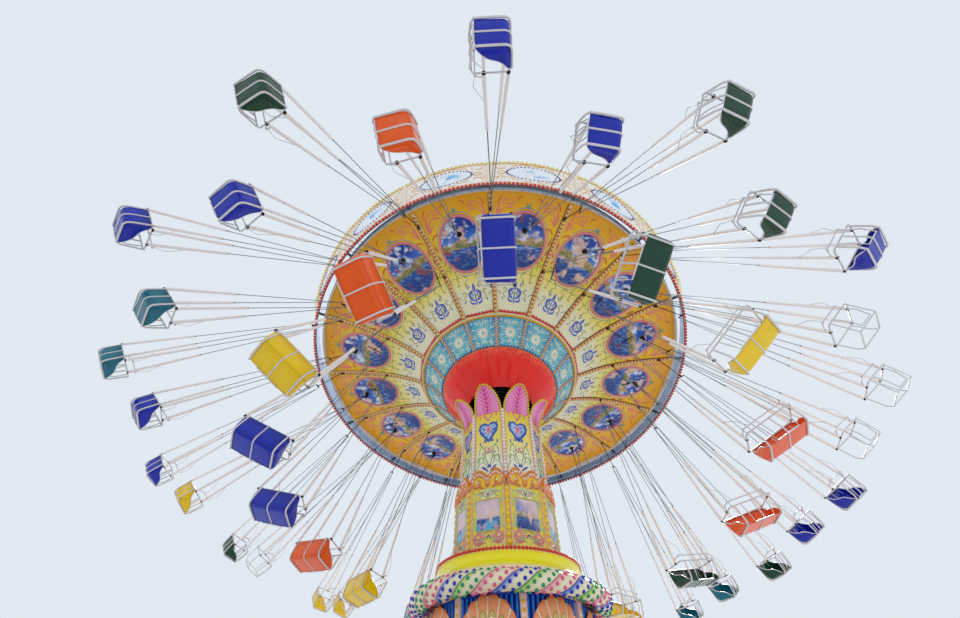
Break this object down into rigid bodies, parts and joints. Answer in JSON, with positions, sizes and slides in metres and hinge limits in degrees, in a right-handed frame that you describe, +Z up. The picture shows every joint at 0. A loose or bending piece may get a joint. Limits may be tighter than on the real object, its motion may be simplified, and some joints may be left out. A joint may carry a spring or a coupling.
{
  "type": "chair swing ride",
  "caption": "Fairground chair swing ride: drum base, telescoping turning column, tilting canopy with painted ceiling and chairs on chains in flight.",
  "frame": {"origin": "tower axis at ground level, centre of the base's underside", "axes": "+Z up, -Y towards the raised side of the canopy, which is the front, +X to the right seen from the front"},
  "size_m": [16.9532, 16.6996, 12.2198],
  "materials": {
    "drum_paint": "gloss paint, blue drapery with peach shells",
    "garland_paint": "gloss cream paint with coloured jewels",
    "cornice_paint": "high gloss yellow paint",
    "grey_steel": "grey machine paint",
    "column_paint": "gloss paint with floral panels",
    "ceiling_paint": "satin paint, ornamental panels",
    "board_paint": "gloss cream paint with cartouches",
    "bowl_paint": "high gloss red paint",
    "roof_paint": "weathered cream paint",
    "chair_frame": "cream painted tube",
    "chair_navy": "moulded shell on a painted tube frame",
    "chair_orange": "moulded shell on a painted tube frame",
    "chair_yellow": "moulded shell on a painted tube frame",
    "chair_green": "moulded shell on a painted tube frame",
    "chair_teal": "moulded shell on a painted tube frame"
  },
  "bodies": {
    "base": {"base_drum": "drum_paint", "garland_ring": "garland_paint", "flared_cornice": "cornice_paint"},
    "sleeve": {"turning_sleeve": "grey_steel"},
    "lower_tube": {"lower_column": "column_paint"},
    "upper_tube": {"upper_column": "column_paint"},
    "head": {"tilt_head": "grey_steel"},
    "canopy": {"canopy_frame": "grey_steel", "ceiling": "ceiling_paint", "rounding_boards": "board_paint", "centre_bowl": "bowl_paint", "roof_cover": "roof_paint"},
    "chair_outer_00_body": {"chair_outer_00": "chair_navy"},
    "chair_outer_01_body": {"chair_outer_01": "chair_green"},
    "chair_outer_02_body": {"chair_outer_02": "chair_navy"},
    "chair_outer_03_body": {"chair_outer_03": "chair_teal"},
    "chair_outer_04_body": {"chair_outer_04": "chair_navy"},
    "chair_outer_05_body": {"chair_outer_05": "chair_green"},
    "chair_outer_06_body": {"chair_outer_06": "chair_yellow"},
    "chair_outer_07_body": {"chair_outer_07": "chair_orange"},
    "chair_outer_08_body": {"chair_outer_08": "chair_teal"},
    "chair_outer_09_body": {"chair_outer_09": "chair_navy"},
    "chair_outer_10_body": {"chair_outer_10": "chair_teal"},
    "chair_outer_11_body": {"chair_outer_11": "chair_green"},
    "chair_outer_12_body": {"chair_outer_12": "chair_navy"},
    "chair_outer_13_body": {"chair_outer_13": "chair_frame"},
    "chair_outer_14_body": {"chair_outer_14": "chair_navy"},
    "chair_outer_15_body": {"chair_outer_15": "chair_green"},
    "chair_middle_00_body": {"chair_middle_00": "chair_orange"},
    "chair_middle_01_body": {"chair_middle_01": "chair_navy"},
    "chair_middle_02_body": {"chair_middle_02": "chair_teal"},
    "chair_middle_03_body": {"chair_middle_03": "chair_navy"},
    "chair_middle_04_body": {"chair_middle_04": "chair_yellow"},
    "chair_middle_05_body": {"chair_middle_05": "chair_frame"},
    "chair_middle_06_body": {"chair_middle_06": "chair_yellow"},
    "chair_middle_07_body": {"chair_middle_07": "chair_green"},
    "chair_middle_08_body": {"chair_middle_08": "chair_orange"},
    "chair_middle_09_body": {"chair_middle_09": "chair_yellow"},
    "chair_middle_10_body": {"chair_middle_10": "chair_teal"},
    "chair_middle_11_body": {"chair_middle_11": "chair_navy"},
    "chair_middle_12_body": {"chair_middle_12": "chair_frame"},
    "chair_middle_13_body": {"chair_middle_13": "chair_frame"},
    "chair_middle_14_body": {"chair_middle_14": "chair_green"},
    "chair_middle_15_body": {"chair_middle_15": "chair_navy"},
    "chair_double_00_body": {"chair_double_00": "chair_navy"},
    "chair_double_01_body": {"chair_double_01": "chair_orange"},
    "chair_double_02_body": {"chair_double_02": "chair_yellow"},
    "chair_double_03_body": {"chair_double_03": "chair_navy"},
    "chair_double_04_body": {"chair_double_04": "chair_navy"},
    "chair_double_05_body": {"chair_double_05": "chair_orange"},
    "chair_double_06_body": {"chair_double_06": "chair_yellow"},
    "chair_double_07_body": {"chair_double_07": "chair_teal"},
    "chair_double_08_body": {"chair_double_08": "chair_green"},
    "chair_double_09_body": {"chair_double_09": "chair_navy"},
    "chair_double_10_body": {"chair_double_10": "chair_yellow"},
    "chair_double_11_body": {"chair_double_11": "chair_green"},
    "chair_double_12_body": {"chair_double_12": "chair_orange"},
    "chair_double_13_body": {"chair_double_13": "chair_orange"},
    "chair_double_14_body": {"chair_double_14": "chair_yellow"},
    "chair_double_15_body": {"chair_double_15": "chair_green"}
  },
  "joints": [
    {"name": "column_spin", "type": "hinge", "parent": "base", "child": "sleeve", "pos_m": [0, 0, 0.3], "axis": [0, 0, 1], "continuous": true},
    {"name": "lift_lower", "type": "slide", "parent": "sleeve", "child": "lower_tube", "axis": [0, 0, 1], "range_m": [-2.9, 0]},
    {"name": "lift_upper", "type": "slide", "parent": "lower_tube", "child": "upper_tube", "axis": [0, 0, 1], "range_m": [-0.9, 0]},
    {"name": "canopy_tilt", "type": "hinge", "parent": "upper_tube", "child": "head", "pos_m": [0, 0, 7.96], "axis": [-1, 0, 0], "range_deg": [-12, 0]},
    {"name": "canopy_spin", "type": "hinge", "parent": "head", "child": "canopy", "pos_m": [0, 0, 7.96], "axis": [0, 0.2079, 0.9781], "continuous": true},
    {"name": "swing_out", "type": "hinge", "parent": "canopy", "child": "chair_outer_00_body", "pos_m": [0, -4.46828, 11.01114], "axis": [-0.999, -0.0438, 0.0093], "range_deg": [-38.53, 4]},
    {"name": "swing_double_00", "type": "hinge", "parent": "canopy", "child": "chair_double_00_body", "pos_m": [0, -3.0579, 10.50397], "axis": [-0.9987, -0.0497, 0.0106], "range_deg": [-24.33, 2.53]},
    {"name": "swing_double_01", "type": "hinge", "parent": "canopy", "child": "chair_double_01_body", "pos_m": [-1.34705, -2.79581, 10.44827], "axis": [-0.9524, 0.2983, -0.0634], "range_deg": [-22.67, 2.35]},
    {"name": "swing_double_02", "type": "hinge", "parent": "canopy", "child": "chair_double_02_body", "pos_m": [-2.48902, -2.04945, 10.28962], "axis": [-0.8047, 0.5808, -0.1234], "range_deg": [-19.97, 2.07]},
    {"name": "swing_double_03", "type": "hinge", "parent": "canopy", "child": "chair_double_03_body", "pos_m": [-3.25206, -0.93243, 10.05219], "axis": [-0.6104, 0.7748, -0.1647], "range_deg": [-16.77, 1.74]},
    {"name": "swing_double_04", "type": "hinge", "parent": "canopy", "child": "chair_double_04_body", "pos_m": [-3.52, 0.38518, 9.77212], "axis": [-0.4248, 0.8855, -0.1882], "range_deg": [-13.76, 1.43]},
    {"name": "swing_double_05", "type": "hinge", "parent": "canopy", "child": "chair_double_05_body", "pos_m": [-3.25206, 1.70279, 9.49206], "axis": [-0.2702, 0.9418, -0.2002], "range_deg": [-11.61, 1.21]},
    {"name": "swing_double_06", "type": "hinge", "parent": "canopy", "child": "chair_double_06_body", "pos_m": [-2.48902, 2.8198, 9.25463], "axis": [-0.0977, 0.9735, -0.2069], "range_deg": [-10.57, 1.1]},
    {"name": "swing_double_07", "type": "hinge", "parent": "canopy", "child": "chair_double_07_body", "pos_m": [-1.34705, 3.56617, 9.09598], "axis": [0.1765, 0.9628, -0.2046], "range_deg": [-10.31, 1.07]},
    {"name": "swing_double_08", "type": "hinge", "parent": "canopy", "child": "chair_double_08_body", "pos_m": [0, 3.82826, 9.04028], "axis": [0.5621, 0.809, -0.172], "range_deg": [-10.42, 1.08]},
    {"name": "swing_double_09", "type": "hinge", "parent": "canopy", "child": "chair_double_09_body", "pos_m": [1.34705, 3.56617, 9.09598], "axis": [0.9124, 0.4004, -0.0851], "range_deg": [-11, 1.14]},
    {"name": "swing_double_10", "type": "hinge", "parent": "canopy", "child": "chair_double_10_body", "pos_m": [2.48902, 2.8198, 9.25463], "axis": [0.9805, -0.1921, 0.0408], "range_deg": [-12.48, 1.3]},
    {"name": "swing_double_11", "type": "hinge", "parent": "canopy", "child": "chair_double_11_body", "pos_m": [3.25206, 1.70279, 9.49206], "axis": [0.6968, -0.7016, 0.1491], "range_deg": [-15, 1.56]},
    {"name": "swing_double_12", "type": "hinge", "parent": "canopy", "child": "chair_double_12_body", "pos_m": [3.52, 0.38518, 9.77212], "axis": [0.2241, -0.9533, 0.2026], "range_deg": [-18.13, 1.88]},
    {"name": "swing_double_13", "type": "hinge", "parent": "canopy", "child": "chair_double_13_body", "pos_m": [3.25206, -0.93243, 10.05219], "axis": [-0.2612, -0.9442, 0.2007], "range_deg": [-21.18, 2.2]},
    {"name": "swing_double_14", "type": "hinge", "parent": "canopy", "child": "chair_double_14_body", "pos_m": [2.48902, -2.04945, 10.28962], "axis": [-0.6543, -0.7397, 0.1572], "range_deg": [-23.5, 2.44]},
    {"name": "swing_double_15", "type": "hinge", "parent": "canopy", "child": "chair_double_15_body", "pos_m": [1.34705, -2.79581, 10.44827], "axis": [-0.9046, -0.4169, 0.0886], "range_deg": [-24.62, 2.56]},
    {"name": "swing_middle_00", "type": "hinge", "parent": "canopy", "child": "chair_middle_00_body", "pos_m": [-0.87205, -3.84522, 10.95607], "axis": [-0.9932, 0.114, -0.0242], "range_deg": [-33.42, 3.47]},
    {"name": "swing_middle_01", "type": "hinge", "parent": "canopy", "child": "chair_middle_01_body", "pos_m": [-2.4834, -3.19236, 10.8173], "axis": [-0.8909, 0.4443, -0.0944], "range_deg": [-35.76, 3.71]},
    {"name": "swing_middle_02", "type": "hinge", "parent": "canopy", "child": "chair_middle_02_body", "pos_m": [-3.71667, -1.98604, 10.56089], "axis": [-0.6815, 0.7159, -0.1522], "range_deg": [-38.33, 3.98]},
    {"name": "swing_middle_03", "type": "hinge", "parent": "canopy", "child": "chair_middle_03_body", "pos_m": [-4.38411, -0.40991, 10.22587], "axis": [-0.3882, 0.9014, -0.1916], "range_deg": [-40.76, 4.23]},
    {"name": "swing_middle_04", "type": "hinge", "parent": "canopy", "child": "chair_middle_04_body", "pos_m": [-4.38411, 1.29608, 9.86325], "axis": [-0.0412, 0.9773, -0.2077], "range_deg": [-42.67, 4.43]},
    {"name": "swing_middle_05", "type": "hinge", "parent": "canopy", "child": "chair_middle_05_body", "pos_m": [-3.71667, 2.87222, 9.52823], "axis": [0.3202, 0.9267, -0.197], "range_deg": [-43.75, 4.54]},
    {"name": "swing_middle_06", "type": "hinge", "parent": "canopy", "child": "chair_middle_06_body", "pos_m": [-2.4834, 4.07854, 9.27182], "axis": [0.6479, 0.7451, -0.1584], "range_deg": [-43.83, 4.55]},
    {"name": "swing_middle_07", "type": "hinge", "parent": "canopy", "child": "chair_middle_07_body", "pos_m": [-0.87205, 4.73139, 9.13305], "axis": [0.8898, 0.4464, -0.0949], "range_deg": [-42.89, 4.45]},
    {"name": "swing_middle_08", "type": "hinge", "parent": "canopy", "child": "chair_middle_08_body", "pos_m": [0.87205, 4.73139, 9.13305], "axis": [0.9977, 0.0667, -0.0142], "range_deg": [-41.06, 4.26]},
    {"name": "swing_middle_09", "type": "hinge", "parent": "canopy", "child": "chair_middle_09_body", "pos_m": [2.4834, 4.07854, 9.27182], "axis": [0.9391, -0.3362, 0.0715], "range_deg": [-38.63, 4.01]},
    {"name": "swing_middle_10", "type": "hinge", "parent": "canopy", "child": "chair_middle_10_body", "pos_m": [3.71667, 2.87222, 9.52823], "axis": [0.7097, -0.6891, 0.1465], "range_deg": [-35.98, 3.74]},
    {"name": "swing_middle_11", "type": "hinge", "parent": "canopy", "child": "chair_middle_11_body", "pos_m": [4.38411, 1.29608, 9.86325], "axis": [0.3432, -0.9187, 0.1953], "range_deg": [-33.54, 3.48]},
    {"name": "swing_middle_12", "type": "hinge", "parent": "canopy", "child": "chair_middle_12_body", "pos_m": [4.38411, -0.40991, 10.22587], "axis": [-0.089, -0.9743, 0.2071], "range_deg": [-31.69, 3.29]},
    {"name": "swing_middle_13", "type": "hinge", "parent": "canopy", "child": "chair_middle_13_body", "pos_m": [3.71667, -1.98604, 10.56089], "axis": [-0.4963, -0.8492, 0.1805], "range_deg": [-30.71, 3.19]},
    {"name": "swing_middle_14", "type": "hinge", "parent": "canopy", "child": "chair_middle_14_body", "pos_m": [2.4834, -3.19236, 10.8173], "axis": [-0.8022, -0.584, 0.1241], "range_deg": [-30.71, 3.19]},
    {"name": "swing_middle_15", "type": "hinge", "parent": "canopy", "child": "chair_middle_15_body", "pos_m": [0.87205, -3.84522, 10.95607], "axis": [-0.9686, -0.2432, 0.0517], "range_deg": [-31.66, 3.29]},
    {"name": "swing_outer_01", "type": "hinge", "parent": "canopy", "child": "chair_outer_01_body", "pos_m": [-1.91533, -4.09562, 10.93193], "axis": [-0.9192, 0.3853, -0.0819], "range_deg": [-42.14, 4.37]},
    {"name": "swing_outer_02", "type": "hinge", "parent": "canopy", "child": "chair_outer_02_body", "pos_m": [-3.53907, -3.03438, 10.70635], "axis": [-0.6676, 0.7283, -0.1548], "range_deg": [-45.34, 4.71]},
    {"name": "swing_outer_03", "type": "hinge", "parent": "canopy", "child": "chair_outer_03_body", "pos_m": [-4.62402, -1.44612, 10.36876], "axis": [-0.3075, 0.9308, -0.1978], "range_deg": [-47.58, 4.94]},
    {"name": "swing_outer_04", "type": "hinge", "parent": "canopy", "child": "chair_outer_04_body", "pos_m": [-5.005, 0.42735, 9.97054], "axis": [0.0885, 0.9743, -0.2071], "range_deg": [-48.51, 5.04]},
    {"name": "swing_outer_05", "type": "hinge", "parent": "canopy", "child": "chair_outer_05_body", "pos_m": [-4.62402, 2.30083, 9.57232], "axis": [0.455, 0.871, -0.1851], "range_deg": [-47.97, 4.98]},
    {"name": "swing_outer_06", "type": "hinge", "parent": "canopy", "child": "chair_outer_06_body", "pos_m": [-3.53907, 3.88909, 9.23473], "axis": [0.7441, 0.6535, -0.1389], "range_deg": [-46.04, 4.78]},
    {"name": "swing_outer_07", "type": "hinge", "parent": "canopy", "child": "chair_outer_07_body", "pos_m": [-1.91533, 4.95032, 9.00915], "axis": [0.9284, 0.3635, -0.0773], "range_deg": [-43.06, 4.47]},
    {"name": "swing_outer_08", "type": "hinge", "parent": "canopy", "child": "chair_outer_08_body", "pos_m": [0, 5.32298, 8.92994], "axis": [0.999, 0.0429, -0.0091], "range_deg": [-39.53, 4.1]},
    {"name": "swing_outer_09", "type": "hinge", "parent": "canopy", "child": "chair_outer_09_body", "pos_m": [1.91533, 4.95032, 9.00915], "axis": [0.96, -0.2738, 0.0582], "range_deg": [-36.03, 3.74]},
    {"name": "swing_outer_10", "type": "hinge", "parent": "canopy", "child": "chair_outer_10_body", "pos_m": [3.53907, 3.88909, 9.23473], "axis": [0.8187, -0.5617, 0.1194], "range_deg": [-33.1, 3.44]},
    {"name": "swing_outer_11", "type": "hinge", "parent": "canopy", "child": "chair_outer_11_body", "pos_m": [4.62402, 2.30083, 9.57232], "axis": [0.5781, -0.7981, 0.1696], "range_deg": [-31.14, 3.23]},
    {"name": "swing_outer_12", "type": "hinge", "parent": "canopy", "child": "chair_outer_12_body", "pos_m": [5.005, 0.42735, 9.97054], "axis": [0.2412, -0.9493, 0.2018], "range_deg": [-30.34, 3.15]},
    {"name": "swing_outer_13", "type": "hinge", "parent": "canopy", "child": "chair_outer_13_body", "pos_m": [4.62402, -1.44612, 10.36876], "axis": [-0.1657, -0.9646, 0.205], "range_deg": [-30.77, 3.19]},
    {"name": "swing_outer_14", "type": "hinge", "parent": "canopy", "child": "chair_outer_14_body", "pos_m": [3.53907, -3.03438, 10.70635], "axis": [-0.5715, -0.8027, 0.1706], "range_deg": [-32.41, 3.36]},
    {"name": "swing_outer_15", "type": "hinge", "parent": "canopy", "child": "chair_outer_15_body", "pos_m": [1.91533, -4.09562, 10.93193], "axis": [-0.8756, -0.4725, 0.1004], "range_deg": [-35.11, 3.65]}
  ],
  "couplings": [
    {"joint": "swing_double_00", "follows": "swing_out", "ratio": 0.63143},
    {"joint": "swing_double_01", "follows": "swing_out", "ratio": 0.58852},
    {"joint": "swing_double_02", "follows": "swing_out", "ratio": 0.5184},
    {"joint": "swing_double_03", "follows": "swing_out", "ratio": 0.43522},
    {"joint": "swing_double_04", "follows": "swing_out", "ratio": 0.35716},
    {"joint": "swing_double_05", "follows": "swing_out", "ratio": 0.30142},
    {"joint": "swing_double_06", "follows": "swing_out", "ratio": 0.27444},
    {"joint": "swing_double_07", "follows": "swing_out", "ratio": 0.26751},
    {"joint": "swing_double_08", "follows": "swing_out", "ratio": 0.27037},
    {"joint": "swing_double_09", "follows": "swing_out", "ratio": 0.28539},
    {"joint": "swing_double_10", "follows": "swing_out", "ratio": 0.32382},
    {"joint": "swing_double_11", "follows": "swing_out", "ratio": 0.38929},
    {"joint": "swing_double_12", "follows": "swing_out", "ratio": 0.47062},
    {"joint": "swing_double_13", "follows": "swing_out", "ratio": 0.54978},
    {"joint": "swing_double_14", "follows": "swing_out", "ratio": 0.6099},
    {"joint": "swing_double_15", "follows": "swing_out", "ratio": 0.639},
    {"joint": "swing_middle_00", "follows": "swing_out", "ratio": 0.86754},
    {"joint": "swing_middle_01", "follows": "swing_out", "ratio": 0.92808},
    {"joint": "swing_middle_02", "follows": "swing_out", "ratio": 0.99487},
    {"joint": "swing_middle_03", "follows": "swing_out", "ratio": 1.0579},
    {"joint": "swing_middle_04", "follows": "swing_out", "ratio": 1.1074},
    {"joint": "swing_middle_05", "follows": "swing_out", "ratio": 1.1355},
    {"joint": "swing_middle_06", "follows": "swing_out", "ratio": 1.1376},
    {"joint": "swing_middle_07", "follows": "swing_out", "ratio": 1.1132},
    {"joint": "swing_middle_08", "follows": "swing_out", "ratio": 1.0657},
    {"joint": "swing_middle_09", "follows": "swing_out", "ratio": 1.0026},
    {"joint": "swing_middle_10", "follows": "swing_out", "ratio": 0.9338},
    {"joint": "swing_middle_11", "follows": "swing_out", "ratio": 0.87045},
    {"joint": "swing_middle_12", "follows": "swing_out", "ratio": 0.82259},
    {"joint": "swing_middle_13", "follows": "swing_out", "ratio": 0.79718},
    {"joint": "swing_middle_14", "follows": "swing_out", "ratio": 0.79715},
    {"joint": "swing_middle_15", "follows": "swing_out", "ratio": 0.82181},
    {"joint": "swing_outer_01", "follows": "swing_out", "ratio": 1.0937},
    {"joint": "swing_outer_02", "follows": "swing_out", "ratio": 1.1767},
    {"joint": "swing_outer_03", "follows": "swing_out", "ratio": 1.2351},
    {"joint": "swing_outer_04", "follows": "swing_out", "ratio": 1.2591},
    {"joint": "swing_outer_05", "follows": "swing_out", "ratio": 1.245},
    {"joint": "swing_outer_06", "follows": "swing_out", "ratio": 1.195},
    {"joint": "swing_outer_07", "follows": "swing_out", "ratio": 1.1177},
    {"joint": "swing_outer_08", "follows": "swing_out", "ratio": 1.0259},
    {"joint": "swing_outer_09", "follows": "swing_out", "ratio": 0.93507},
    {"joint": "swing_outer_10", "follows": "swing_out", "ratio": 0.8592},
    {"joint": "swing_outer_11", "follows": "swing_out", "ratio": 0.80832},
    {"joint": "swing_outer_12", "follows": "swing_out", "ratio": 0.78756},
    {"joint": "swing_outer_13", "follows": "swing_out", "ratio": 0.79864},
    {"joint": "swing_outer_14", "follows": "swing_out", "ratio": 0.84113},
    {"joint": "swing_outer_15", "follows": "swing_out", "ratio": 0.91124}
  ]
}
